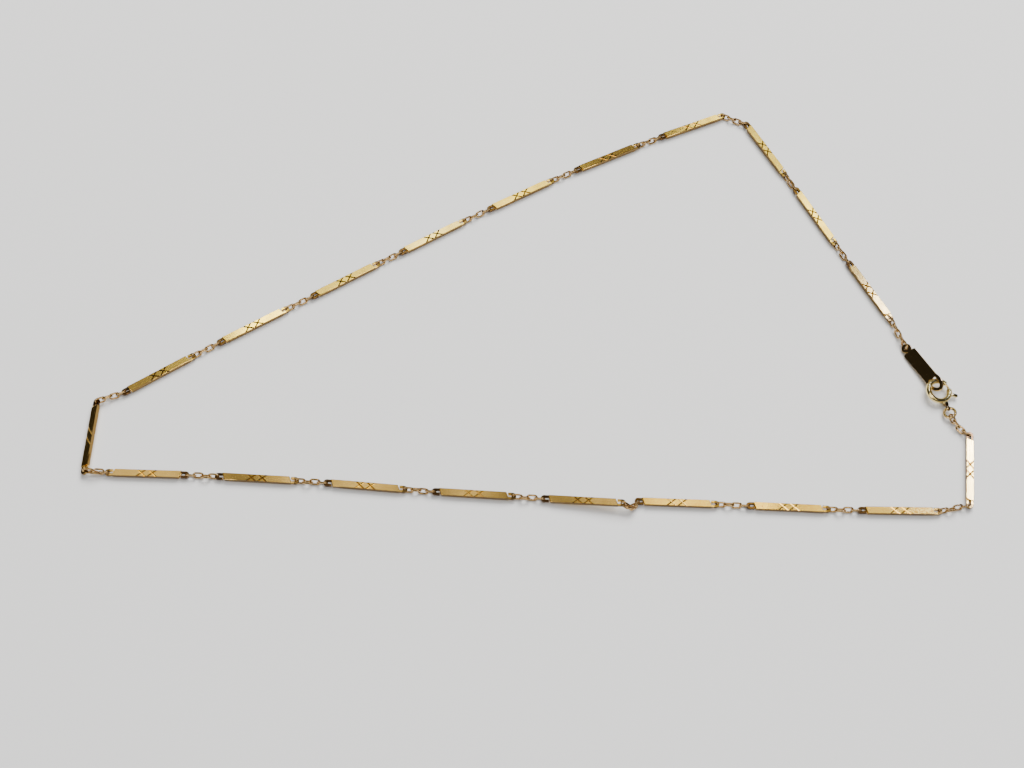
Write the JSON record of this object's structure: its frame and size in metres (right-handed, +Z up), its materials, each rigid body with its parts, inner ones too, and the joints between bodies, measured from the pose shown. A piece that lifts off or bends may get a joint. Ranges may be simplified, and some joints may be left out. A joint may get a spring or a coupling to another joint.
{
  "type": "necklace",
  "caption": "Gold necklace of flat cut bars joined by short runs of cable links, fastened in a closed loop by a spring ring, a jump ring and a plain tag, laid flat",
  "frame": {"origin": "on the surface that the necklace lies on, below the middle of its box", "axes": "+X to the right along the front row of bars, +Y away from that row, +Z up"},
  "size_m": [0.1618, 0.0886, 0.0022],
  "materials": {
    "bar_gold": "polished gold",
    "link_gold": "polished gold",
    "tag_gold": "mirror-polished gold",
    "clasp_gold": "polished gold",
    "trigger_gold": "polished gold",
    "jump_gold": "polished gold"
  },
  "bodies": {
    "necklace": {"bar_right": "bar_gold", "bar_front_8": "bar_gold", "bar_front_7": "bar_gold", "bar_front_6": "bar_gold", "bar_front_5": "bar_gold", "bar_front_4": "bar_gold", "bar_front_3": "bar_gold", "bar_front_2": "bar_gold", "bar_front_1": "bar_gold", "bar_left": "bar_gold", "bar_back_1": "bar_gold", "bar_back_2": "bar_gold", "bar_back_3": "bar_gold", "bar_back_4": "bar_gold", "bar_back_5": "bar_gold", "bar_back_6": "bar_gold", "bar_back_7": "bar_gold", "bar_side_1": "bar_gold", "bar_side_2": "bar_gold", "bar_side_3": "bar_gold", "links_01": "link_gold", "links_02": "link_gold", "links_03": "link_gold", "links_04": "link_gold", "links_05": "link_gold", "links_06": "link_gold", "links_07": "link_gold", "links_08": "link_gold", "links_09": "link_gold", "links_10": "link_gold", "links_11": "link_gold", "links_12": "link_gold", "links_13": "link_gold", "links_14": "link_gold", "links_15": "link_gold", "links_16": "link_gold", "links_17": "link_gold", "links_18": "link_gold", "links_19": "link_gold", "links_20": "link_gold", "links_clasp": "link_gold", "tag": "tag_gold", "clasp_case": "clasp_gold", "jump_ring": "jump_gold"},
    "trigger": {"clasp_trigger": "trigger_gold"}
  },
  "joints": [
    {"name": "clasp_trigger_slide", "type": "hinge", "parent": "necklace", "child": "trigger", "pos_m": [0.07547, -0.0187, 0.00118], "axis": [0.1384, -0.0572, 0.9887], "range_deg": [-32, 0], "stiffness_Nm_per_rad": 0.0002}
  ]
}
